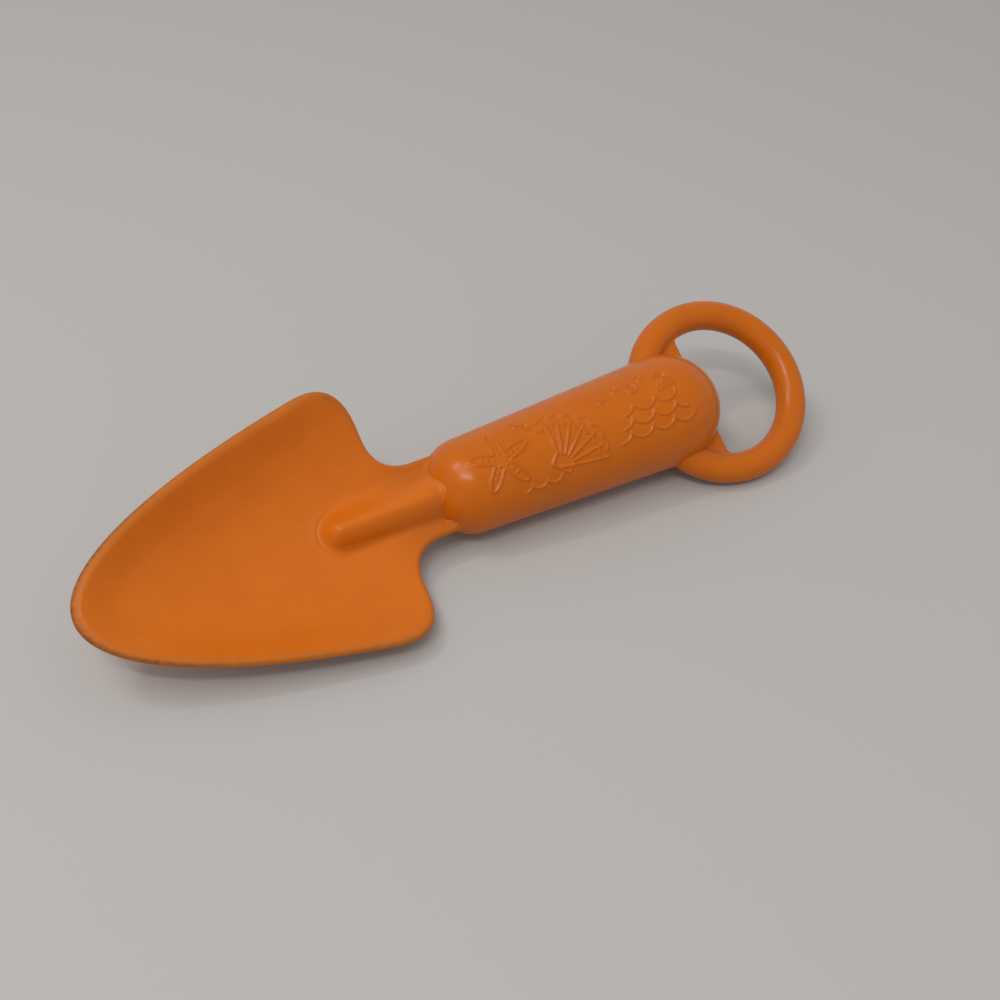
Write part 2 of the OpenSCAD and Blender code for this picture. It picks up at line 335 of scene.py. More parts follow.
@dataclass(frozen=True)
class MouldedPolyethylene:
    """Satin injection-moulded polyethylene, coloured through."""

    # The waxy skin gives a broad soft highlight, a faint mottle from the flow of the melt, a fine
    # grain from the blasted mould, and pale scuffs where sand has dragged over it. The real grain
    # is under a tenth of a millimetre, and is drawn coarser so that it shows.
    name: str
    wear: Wear
    colour: str = "#D26C08"
    deep: str = "#C66206"
    pale: str = "#DC8438"
    soil: str = "#5A3D26"
    # Rim dust: partly real dust and partly painted shade on the rim's rounded outer face.
    dust: str = "#8A5A22"
    # Colour of the painted shade on the neck and the root of the rib's near flank.
    painted_shade_colour: str = "#BC5F06"
    ior: float = 1.51
    mottle_mm: float = 9.0
    scuff_mm: float = 2.2
    scuff_turn: float = 0.35
    scuff_stretch: float = 0.22
    scuff_share: float = 0.3
    grain_mm: float = 0.7
    grain_depth_mm: float = 0.05
    ragged_mm: float = 1.6
    speck_mm: float = 3.0
    even_gloss: float = 0.3
    gloss_range: Pair = (-0.04, 0.1)
    dust_and_shade_noise: Pair = (0.25, 0.75)
    dust_and_shade_range: Pair = (0.22, 0.55)
    dusty_roughness: float = 0.55
    soil_noise: Pair = (0.3, 0.65)
    soil_range: Pair = (0.0, 0.8)
    grit_noise: Pair = (0.035, 0.07)
    grit_range: Pair = (0.5, 0.0)

    def build(self) -> Material:
        """Makes the material.

        Returns:
            The material, on Object coordinates and the blade's attributes of wear and painted
            shade.
        """
        level = self.wear.value
        material = bpy.data.materials.new(self.name)
        material.use_nodes = True
        tree = material.node_tree
        tree.nodes.clear()
        place = add_node(tree, "ShaderNodeTexCoord").outputs["Object"]
        mottle = add_node(tree, "ShaderNodeTexNoise", {
            "Vector": place, "Scale": 1 / (self.mottle_mm * MM), "Detail": 3.0, "Roughness": 0.55})
        stretch = add_node(tree, "ShaderNodeMapping", {
            "Vector": place, "Rotation": (0.0, 0.0, self.scuff_turn),
            "Scale": (self.scuff_stretch, 1.0, 1.0)})
        scuff = add_node(tree, "ShaderNodeTexNoise", {
            "Vector": stretch.outputs["Vector"], "Scale": 1 / (self.scuff_mm * MM),
            "Detail": 6.0, "Roughness": 0.7})
        scuffed = add_node(tree, "ShaderNodeMapRange", {
            "Value": scuff.outputs["Fac"], "From Min": 0.6, "From Max": 0.8,
            "To Max": self.scuff_share * level.scuffs})
        spread = self.even_gloss + (1 - self.even_gloss) * level.scuffs
        gloss = add_node(tree, "ShaderNodeMapRange", {
            "Value": scuff.outputs["Fac"], "From Min": 0.3, "From Max": 0.8,
            "To Min": level.roughness + self.gloss_range[0] * spread,
            "To Max": level.roughness + self.gloss_range[1] * spread})
        grain = add_node(tree, "ShaderNodeTexNoise", {
            "Vector": place, "Scale": 1 / (self.grain_mm * MM), "Detail": 2.0})
        bump = add_node(tree, "ShaderNodeBump", {
            "Strength": 0.12, "Distance": self.grain_depth_mm * MM,
            "Height": grain.outputs["Fac"]})
        coats = [(mottle.outputs["Fac"], self.deep), (scuffed.outputs["Result"], self.pale)]
        sheen = gloss.outputs["Result"]
        if level.soiled_and_shaded:
            marks, sheen = self._soil_and_shade(tree, sheen, place)
            coats += marks
        skin: Any = linear(self.colour)
        for share, colour in coats:
            skin = add_node(tree, "ShaderNodeMix", {
                "Factor": share, MIX_A: skin, MIX_B: linear(colour)},
                data_type="RGBA").outputs[MIX_OUT]
        shader = add_node(tree, "ShaderNodeBsdfPrincipled", {
            "Base Color": skin, "Roughness": sheen, "IOR": self.ior,
            "Specular IOR Level": level.specular, "Normal": bump.outputs["Normal"]})
        add_node(tree, "ShaderNodeOutputMaterial", {"Surface": shader.outputs["BSDF"]})
        return material

    def _soil_and_shade(self, tree: NodeTree, sheen: NodeSocket, place: NodeSocket
                ) -> tuple[list[Coat], NodeSocket]:
        """Paints shade on the neck and flank, dusts and shades the rim, and soils the trimmed line.

        Args:
            tree: The material's tree.
            sheen: Roughness so far.
            place: Object coordinates.

        Returns:
            Share and colour of the painted shade, the dust with its painted shade and the soil, and
            the roughness.
        """
        oil, dust, flash = (
            add_node(tree, "ShaderNodeAttribute", attribute_name=mark).outputs["Fac"]
            for mark in ("oil", "dust", "flash"))
        ragged = add_node(tree, "ShaderNodeTexNoise", {
            "Vector": place, "Scale": 1 / (self.ragged_mm * MM), "Detail": 4.0, "Roughness": 0.65})
        speck = add_node(tree, "ShaderNodeTexVoronoi", {
            "Vector": place, "Scale": 1 / (self.speck_mm * MM)})
        shares = []
        for mark, pattern, (low, high), (least, most) in (
                (dust, ragged.outputs["Fac"], self.dust_and_shade_noise, self.dust_and_shade_range),
                (flash, ragged.outputs["Fac"], self.soil_noise, self.soil_range),
                (dust, speck.outputs["Distance"], self.grit_noise, self.grit_range)):
            patchy = add_node(tree, "ShaderNodeMapRange", {
                "Value": pattern, "From Min": low, "From Max": high,
                "To Min": least, "To Max": most})
            shares.append(add_node(tree, "ShaderNodeMath", {
                0: mark, 1: patchy.outputs["Result"]}, operation="MULTIPLY").outputs["Value"])
        rim_dust_and_shade, trimmed, grit = shares
        dirt = add_node(tree, "ShaderNodeMath", {0: trimmed, 1: grit}, operation="MAXIMUM")
        dulled = add_node(tree, "ShaderNodeMapRange", {
            "Value": dust, "To Min": sheen, "To Max": self.dusty_roughness})
        # The neck's colour is painted shade, the rim's dust is partly painted shade, and the soil
        # is real dirt.
        coats = [(oil, self.painted_shade_colour), (rim_dust_and_shade, self.dust), (dirt.outputs["Value"], self.soil)]
        return coats, dulled.outputs["Result"]


@dataclass(frozen=True)
class RibSizes:
    """Sizes of the centre rib, the soft apron round its nose and the groove at its foot.

    Lengths are in millimetres. The height is a share of the half width, and the nose's limits are
    shares of the length.
    """

    length: float = 28.0
    root: float = 11.8
    end: float = 8.8
    height: float = 0.92
    slope: float = 1.35
    crown_round: float = 4.4
    blend: float = 2.0
    foot_blend: float = 0.5
    far_blend: float = 3.4
    far_side: Pair = (-1.0, 3.0)
    apron_height: float = 0.7
    apron_width: float = 5.0
    apron_lap: float = 1.0
    apron_fade: float = 0.6
    apron_power: float = 2.5
    groove_depth: float = 0.15
    groove_width: float = 1.5
    groove_lap: float = 0.2
    nose_groove: float = 1.2
    nose_shares: Pair = (0.3, 0.55)

    def height_at(self, x: Array, y: Array, nose: float) -> Array:
        """Height of the rib above the blade's hollow side.

        Args:
            x: Places along the shovel.
            y: Places across it.
            nose: Place of the rib's nose along the shovel.

        Returns:
            The height at each place, and less than zero in the groove.
        """
        share = np.clip((x - nose) / self.length, 0, 1)
        half = (self.end + (self.root - self.end) * share) / 2
        reach = np.hypot(y, np.maximum(nose + self.end / 2 - x, 0))
        crown = self.height * half - reach ** 2 / (2 * self.crown_round)
        body = soft_min(crown, self.slope * (half - reach), self.blend)
        slack = np.clip(1 - (reach - half + self.apron_lap) / self.apron_width, 0, 1)
        apron = self.apron_height * (1 - self.apron_fade * share) * slack ** self.apron_power
        far = smooth_step(y, *self.far_side) * smooth_step(x - nose, 0, self.end)
        foot = self.foot_blend + (self.far_blend - self.foot_blend) * far
        across = np.clip((reach - half + self.groove_lap) / self.groove_width, 0, 1)
        groove = np.sin(np.pi * across) ** 2
        fade = 1 - smooth_step(share, *self.nose_shares)
        depth = self.groove_depth * (1 + self.nose_groove * fade)
        return -soft_min(-body, -apron, foot) - depth * groove * (1 - far)


@dataclass(frozen=True)
class BladeWearAndShade:
    """Limits, in millimetres, between which the marks of use and the painted shade on the blade
    come in or fade.

    The rise on the rib's near flank is in shares of the rib's half width.
    """

    dust_and_shade_band: Pair = (0.7, 3.0)
    back_run: float = 8.0
    tip_fade: Pair = (6.0, 36.0)
    line_lift: float = 0.1
    line_band: Pair = (0.2, 0.7)
    line_spread: float = 0.5
    flash_band: Pair = (0.3, 0.9)
    flash_spread: float = 0.9
    flash_least: float = 0.15
    neck_run: Pair = (-4.0, 6.0)
    neck_side: Pair = (3.5, 6.0)
    flank_rise: Pair = (0.5, 0.95)
    flank_fall: Pair = (0.8, 2.4)
    flank_run: float = 5.0
    flank_share: float = 0.8


@dataclass
class Blade:
    """Dished blade with its rounded rim, centre rib and flat neck, in millimetres."""

    pose: RestPose
    grip: GripSizes
    rib: RibSizes = RibSizes()
    wear: BladeWearAndShade = BladeWearAndShade()
    length: float = 73.8
    width: float = 66.8
    tip_radius: float = 9.0
    rim_rise: float = 13.9
    wall: float = 2.6
    corner_run: float = 12.0
    back_sweep: float = 3.0
    dish_power: float = 2.2
    toe_power: float = 3.0
    neck_length: float = 9.0
    neck_width: float = 20.0
    neck_mid: float = 1.1
    notch_run: float = 9.0
    root_fillet: float = 0.8
    root_rise: float = 0.8
    lee_from: Pair = (2.6, 3.6)
    lee_to: Pair = (6.4, 7.4)
    lip_height: float = 0.7
    lip_crest: float = 1.3
    lip_width: float = 8.0
    lip_run: float = 14.0
    lip_wear: float = 0.6
    lip_worn: Pair = (2.0, 14.0)
    tip_step: float = 0.03
    strip_margin: float = 3.5
    column_ease: float = 1.6
    side_rows: int = 140
    lip_rows: int = 8
    bend_rows: int = 26
    back_rows: int = 8
    neck_rows: int = 48
    rib_columns: int = 40
    side_columns: int = 38
    rim_steps: int = 10

    def __post_init__(self) -> None:
        """Works out the places along X and the outline of half of the blade."""
        self.shoulder: float = -self.grip.setback - self.grip.length
        self.notch: float = self.shoulder - self.neck_length
        self.corner: float = self.notch - self.back_sweep
        self.tip: float = self.corner - self.length
        self.rib_nose: float = self.shoulder - self.rib.length
        self.rim_radius: float = self.wall / 2
        self.rim_mid: float = self.neck_mid + self.rim_rise
        half = self.width / 2
        self.conic_bend: float = (2 * self.tip_radius * self.length - half ** 2) / self.length ** 2
        self.outline: Array = self._half_outline()

    def conic_width(self, along: Array) -> Array:
        """Half width of the conic at a distance from the tip."""
        square = 2 * self.tip_radius * along - self.conic_bend * along ** 2
        return np.sqrt(np.maximum(square, 0))

    @staticmethod
    def _toward(start: Array, end: Array, run: float) -> Array:
        """Steps a distance from one point towards another."""
        return start + (end - start) * run / np.linalg.norm(end - start)

    @staticmethod
    def _bend(start: Array, pull: Array, end: Array, rows: int) -> Array:
        """Draws a round corner that leans towards its pull, without its first point."""
        t = np.linspace(0, 1, rows + 1)[1:, None]
        return start * (1 - t) ** 2 + pull * 2 * t * (1 - t) + end * t ** 2

    def _half_outline(self) -> Array:
        """Draws the conic side, the corner, the back edge, the notch and the neck.

        Returns:
            Points from the tip to the end of the neck.
        """
        side_run = self.length - self.corner_run
        t = np.linspace(0, 1, self.side_rows)
        along = self.tip_step + (side_run - self.tip_step) * t * t * (2 - t)
        side = np.column_stack((self.tip + along, self.conic_width(along)))
        corner = np.array((self.corner, self.width / 2))
        notch = np.array((self.notch, self.neck_width / 2))
        back_from = self._toward(corner, notch, self.corner_run)
        back_to = self._toward(notch, corner, self.notch_run)
        steps = np.linspace(0, 1, self.back_rows + 1)[1:-1, None]
        back = back_from + (back_to - back_from) * steps
        neck_from = np.array((self.notch + self.notch_run, self.neck_width / 2))
        neck_to = np.array((self.grip.shoulder_centre, self.neck_width / 2))
        steps = np.linspace(0, 1, self.neck_rows + 1)[1:, None]
        neck = neck_from + (neck_to - neck_from) * steps
        return np.vstack((
            side, self._bend(side[-1], corner, back_from, self.bend_rows), back, back_to[None],
            self._bend(back_to, notch, neck_from, self.bend_rows), neck))

    def middle(self, x: Array, y: Array) -> Array:
        """Height of the middle of the blade's wall.

        Args:
            x: Places along the shovel.
            y: Places across it.

        Returns:
            The height at each place.
        """
        share = np.clip((self.notch - x) / (self.notch - self.tip), 0, 1)
        low = self.neck_mid + self.rim_rise * share ** self.toe_power
        wide = self.conic_width(np.clip(x - self.tip, self.tip_step, self.length))
        across = np.minimum(np.abs(y) / wide, 1)
        return low + (self.rim_mid - low) * across ** self.dish_power

    def root(self, points: Array) -> Array:
        """Height by which the blade is drawn up where it meets the grip's round shoulder.

        Args:
            points: Points on the blade's hollow side.

        Returns:
            The height at each point, and zero in the lee of the rib's near flank.
        """
        centre = np.array((self.grip.shoulder_centre, 0, 0))
        gap = np.linalg.norm(points - centre, axis=-1) - self.grip.shoulder_radius
        near = -points[..., 1]
        lee = smooth_step(near, *self.lee_from) * (1 - smooth_step(near, *self.lee_to))
        drawn = np.clip(self.root_fillet - np.maximum(gap, 0), 0, None)
        return (self.root_rise * (1 - lee)) * drawn ** 2 / self.root_fillet

    @staticmethod
    def inset(edge: Array, x: Array, y: Array) -> Array:
        """Distance from a part of the blade's outer edge, seen from above.

        Args:
            edge: Points of the outline's half with y above zero.
            x: Places along the shovel.
            y: Places across it.

        Returns:
            The distance at each place.
        """
        start, run = edge[:-1], np.diff(edge, axis=0)
        spot = np.stack((x, np.abs(y)), -1)[..., None, :] - start
        share = np.clip((spot * run).sum(-1) / (run ** 2).sum(-1), 0, 1)
        return np.linalg.norm(spot - share[..., None] * run, axis=-1).min(-1)

    def lip(self, x: Array, y: Array) -> Array:
        """Height of the soft lip just inside the rim, worn lower on the near side.

        Args:
            x: Places along the shovel.
            y: Places across it.

        Returns:
            The height at each place.
        """
        side = self.outline[:self.side_rows + self.lip_rows]
        inside = np.maximum(self.inset(side, x, y) - self.rim_radius, 0)
        rise = np.sin(np.pi / 2 * np.clip(inside / self.lip_crest, 0, 1))
        fall = 1 - smooth_step(inside, self.lip_crest, self.lip_width)
        worn = 1 - self.lip_wear * smooth_step(-y, *self.lip_worn)
        ahead = smooth_step(-x, -self.corner, -self.corner + self.lip_run)
        return self.lip_height * rise * fall * worn * ahead

    def build(self, finish: Material) -> Object:
        """Builds the blade's closed skin and dresses it.

        Args:
            finish: Material of the blade.

        Returns:
            The blade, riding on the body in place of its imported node.
        """
        xs, ys, normal = self._grid()
        rows, columns = xs.shape
        mid = self.middle(xs, ys)
        lift = self.rib.height_at(xs, ys, self.rib_nose) + self.lip(xs, ys)
        top = np.dstack((xs, ys, mid + self.rim_radius + lift)).reshape(-1, 3)
        top[:, 2] += self.root(top)
        low = np.dstack((xs, ys, mid - self.rim_radius)).reshape(-1, 3)
        # The rim runs from the neck along the near side, round the tip and back.
        row, column = np.arange(rows), np.arange(1, columns - 1)
        path = (np.concatenate((row[::-1], 0 * column, row)),
                np.concatenate((0 * row, column, 0 * row + columns - 1)))
        front = np.tile((-1.0, 0.0), (len(column), 1))
        out = np.vstack((normal[::-1] * (1, -1), front, normal))
        foot = np.column_stack((xs[path], ys[path], mid[path]))
        turns = np.pi / 2 - np.pi * np.arange(1, self.rim_steps) / self.rim_steps
        arcs = [np.column_stack((foot[:, :2] + out * self.rim_radius * math.cos(turn),
                                 foot[:, 2] + self.rim_radius * math.sin(turn)))
                for turn in turns]
        points = self.pose.place(np.vstack([top, low, *arcs]))
        piece = new_piece("blade_moulding", points, self._faces(rows, columns, path))
        self._mark_wear_and_shade(piece)
        piece.data.materials.append(finish)
        stand_in(piece, "blade")
        return piece

    def _grid(self) -> tuple[Array, Array, Array]:
        """Lays rows and columns over the blade, even on the rib and crowded towards the rim.

        Returns:
            Places along the shovel, places across it, and the outline's outward normal at each row.
        """
        step = np.gradient(self.outline, axis=0)
        step /= np.linalg.norm(step, axis=1)[:, None]
        normal = np.column_stack((-step[:, 1], step[:, 0]))
        rim = self.outline - normal * self.rim_radius
        rows, half = len(rim), self.rib_columns + self.side_columns
        turn = rim[self.side_rows - 1, 0]
        late = np.clip((np.arange(rows) - self.side_rows + 1) / (rows - self.side_rows), 0, None)
        centre = np.where(np.arange(rows) < self.side_rows, rim[:, 0],
                          turn + (self.grip.shoulder_centre - turn) * late)[:, None]
        strip = np.minimum(self.rib.root / 2 + self.strip_margin,
                           rim[:, 1] * self.rib_columns / half)[:, None]
        inner = np.linspace(0, 1, self.rib_columns + 1)
        outer = 1 - (1 - np.linspace(0, 1, self.side_columns + 1)[1:]) ** self.column_ease
        xs = np.hstack((np.repeat(centre, self.rib_columns + 1, 1),
                        centre + (rim[:, :1] - centre) * outer))
        ys = np.hstack((strip * inner, strip + (rim[:, 1:] - strip) * outer))
        return np.hstack((xs[:, :0:-1], xs)), np.hstack((-ys[:, :0:-1], ys)), normal

    def _faces(self, rows: int, columns: int, path: tuple[Array, Array]) -> list[Face]:
        """Joins the top, the underside, the round rim and the cut end of the neck.

        Args:
            rows: Rows of the grid from the tip to the neck.
            columns: Columns of the grid from side to side.
            path: Rows and columns of the places that the rim follows.

        Returns:
            The corner numbers of each face.
        """
        count, edge = rows * columns, len(path[0])
        top = np.arange(count).reshape(rows, columns)
        low = count + top
        arcs = 2 * count + np.arange((self.rim_steps - 1) * edge).reshape(-1, edge)
        rim = np.vstack((top[path], arcs, low[path]))
        cut = np.stack((top[-1, ::-1], low[-1, ::-1]))
        faces = [face for grid in (top, low[::-1], rim, cut) for face in grid_faces(grid)]
        return faces + [tuple(rim[:, end].tolist()) for end in (0, -1)]

    def _mark_wear_and_shade(self, piece: Object) -> None:
        """Marks the dusty rim with its painted shade, the trimmed line round it and the painted
        shade on the neck and flank.

        Args:
            piece: The blade.
        """
        wear, half = self.wear, self.rib.end / 2
        points = np.zeros(len(piece.data.vertices) * 3, np.float32)
        piece.data.vertices.foreach_get("co", points)
        x, y, z = ((points.reshape(-1, 3) / MM - self.pose.origin) @ self.pose.turn).T
        inset = self.inset(self.outline[self.outline[:, 0] < self.notch], x, y)
        ahead = smooth_step(self.notch - x, 0, wear.back_run)
        # The rim's dust band is partly real dust and partly painted shade on its rounded outer
        # face.
        dust = (1 - smooth_step(inset, *wear.dust_and_shade_band)) * ahead
        # The trimmed line is strongest and widest round the tip.
        tip = 1 - smooth_step(x - self.tip, *wear.tip_fade)
        core, edge = wear.line_band
        off = np.abs(z - self.middle(x, y) - wear.line_lift)
        line = 1 - smooth_step(off, core, edge + wear.line_spread * tip)
        core, edge = wear.flash_band
        outer = 1 - smooth_step(inset, core, edge + wear.flash_spread * tip)
        flash = outer * line * (wear.flash_least + (1 - wear.flash_least) * tip) * ahead
        # Painted shade darkens the neck beside the rib and the root of the rib's near flank.
        neck = smooth_step(x - self.notch, *wear.neck_run)
        neck = neck * smooth_step(np.abs(y), *wear.neck_side)
        flank = smooth_step(-y / half, *wear.flank_rise)
        flank = flank * (1 - smooth_step(-y - half, *wear.flank_fall))
        along = smooth_step(x - self.rib_nose, 0, wear.flank_run)
        oil = np.maximum(neck, wear.flank_share * flank * along)
        for name, mark in (("dust", dust), ("flash", flash), ("oil", oil)):
            layer = piece.data.attributes.new(name, "FLOAT", "POINT")
            layer.data.foreach_set("value", mark.astype(np.float32))


@dataclass
class SeasideDrawing:
    """Line drawing of a starfish, a scallop, waves, bubbles and a snail shell on the grip's top.

    It is drawn flat: u runs along the grip and v across it, in millimetres from the grip's top
    line. Turns are in radians.
    """

    sizes: GripSizes
    starfish: Numbers = (-71.0, 0.6, 8.2, 0.3)
    scallop: Numbers = (-57.0, -6.4, 14.0, 0.85)
    snail: Triple = (-22.0, 5.8, 2.6)
    waves: tuple[Numbers, ...] = (
        (-39.5, -17.5, -5.6, 1.15, 6.4), (-38.0, -19.0, -2.4, 1.15, 6.4),
        (-36.5, -20.5, 0.8, 1.15, 6.4), (-67.5, -56.5, -8.6, 0.8, 4.2))
    bubbles: tuple[Triple, ...] = (
        (-31.0, 6.2, 1.5), (-27.5, 8.4, 0.9), (-35.5, 7.6, 0.9), (-61.5, 6.6, 1.1),
        (-63.5, 8.6, 0.7), (-40.5, 6.0, 0.8))
    starfish_points: int = 161
    scallop_points: int = 141
    ray_points: int = 20
    spiral_points: int = 120
    wave_points: int = 120
    bubble_points: int = 33
    lines: list[Array] = field(default_factory=list)

    @staticmethod
    def _round(u: float, v: float, radius: Array | float, turn: Array | float) -> Array:
        """Points at a radius and a turn about a place."""
        return np.column_stack((u + radius * np.cos(turn), v + radius * np.sin(turn)))

    def _starfish(self, u: float, v: float, reach: float, turn: float) -> None:
        """Draws a five-armed starfish with a row of knobs along each arm.

        Args:
            u: Its middle along the grip.
            v: Its middle across the grip.
            reach: Length of an arm from the middle.
            turn: Turn of the first arm.
        """
        arms, core, slim, knobs, knob = 5, 0.3, 1.8, (0.22, 0.42, 0.6), 0.05
        t = np.linspace(0, 2 * np.pi, self.starfish_points)
        radius = reach * (core + (1 - core) * ((1 + np.cos(arms * t)) / 2) ** slim)
        self.lines.append(self._round(u, v, radius, t + turn))
        for arm in range(arms):
            for share in knobs:
                place = self._round(u, v, share * reach, turn + 2 * np.pi * arm / arms)
                self.lines.append(np.vstack((place, place + knob)))

    def _scallop(self, u: float, v: float, reach: float, turn: float) -> None:
        """Draws a scallop shell: a fan of ribs, a lobed edge, an inner band and a hinge.

        Args:
            u: Its hinge along the grip.
            v: Its hinge across the grip.
            reach: Length from the hinge to the edge.
            turn: Turn of its middle rib.
        """
        ribs, spread, edge_share, lobe, flatten = 7, 1.0, 0.96, 0.05, 0.35
        ray_from, ray_to, band = 0.24, 0.86, 0.8
        ear_half, ear_front, ear_back = 2.6, 2.2, 0.4
        t = np.linspace(-spread, spread, self.scallop_points)
        wavy = np.abs(np.cos(np.pi * ribs * (t + spread) / (2 * spread)))
        lobes = reach * (edge_share + lobe * wavy) * np.cos(flatten * t)
        edge = self._round(u, v, lobes, t + turn)
        hinge = np.array((u, v))
        self.lines.append(np.vstack((hinge, edge, hinge)))
        ray = np.linspace(ray_from, ray_to, self.ray_points) * reach
        for rib in range(1, ribs):
            self.lines.append(self._round(u, v, ray, turn - spread + 2 * spread * rib / ribs))
        self.lines.append(hinge + band * (edge - hinge))
        ear = ear_half * np.array((math.cos(turn + np.pi / 2), math.sin(turn + np.pi / 2)))
        ahead = np.array((math.cos(turn), math.sin(turn)))
        self.lines.append(np.array([
            hinge + ear + ear_front * ahead, hinge + ear - ear_back * ahead,
            hinge - ear - ear_back * ahead, hinge - ear + ear_front * ahead]))

    def _snail(self, u: float, v: float, reach: float) -> None:
        """Draws a spiral snail shell on a short line of ground.

        Args:
            u: Its middle along the grip.
            v: Its middle across the grip.
            reach: Radius of the spiral.
        """
        first, turns, ground = 0.6, 2.6, np.array(((0.9, -0.8), (-1.3, -1.2)))
        t = np.linspace(first, turns * 2 * np.pi, self.spiral_points)
        self.lines.append(self._round(u, v, reach * t / t[-1], t))
        self.lines.append(np.array((u, v)) + ground * reach)

    def _wave(self, first: float, last: float, v: float, rise: float, length: float) -> None:
        """Draws a rolling wave line.

        Args:
            first: Start along the grip.
            last: End along the grip.
            v: Place across the grip.
            rise: Half height of the wave.
            length: Length of one wave.
        """
        roll = 0.9
        u = first + (last - first) * np.linspace(0, 1, self.wave_points)
        swing = 2 * np.pi * (u - first) / length
        self.lines.append(np.column_stack((
            u + roll * rise * np.sin(swing), v - rise * np.cos(swing))))

    def _bubble(self, u: float, v: float, radius: float) -> None:
        """Draws a round bubble."""
        t = np.linspace(0, 2 * np.pi, self.bubble_points)
        self.lines.append(self._round(u, v, radius, t))

    def build(self, pose: RestPose) -> Object:
        """Draws all of it and wraps it onto the grip.

        Args:
            pose: Rest pose of the shovel.

        Returns:
            An object of loose edges that lies on the grip's skin.
        """
        self._starfish(*self.starfish)
        self._scallop(*self.scallop)
        self._snail(*self.snail)
        for wave in self.waves:
            self._wave(*wave)
        for bubble in self.bubbles:
            self._bubble(*bubble)
        points, edges, start = [], [], 0
        for line in self.lines:
            radius = self.sizes.radius_at(line[:, 0])
            turn = line[:, 1] / np.maximum(radius, 1)
            points.append(np.column_stack((
                line[:, 0], radius * np.sin(turn), radius * np.cos(turn))))
            edges += [(start + k, start + k + 1) for k in range(len(line) - 1)]
            start += len(line)
        mesh = bpy.data.meshes.new("seaside_drawing")
        mesh.from_pydata(pose.place(np.vstack(points)).tolist(), edges, [])
        return add_object("seaside_drawing", mesh)


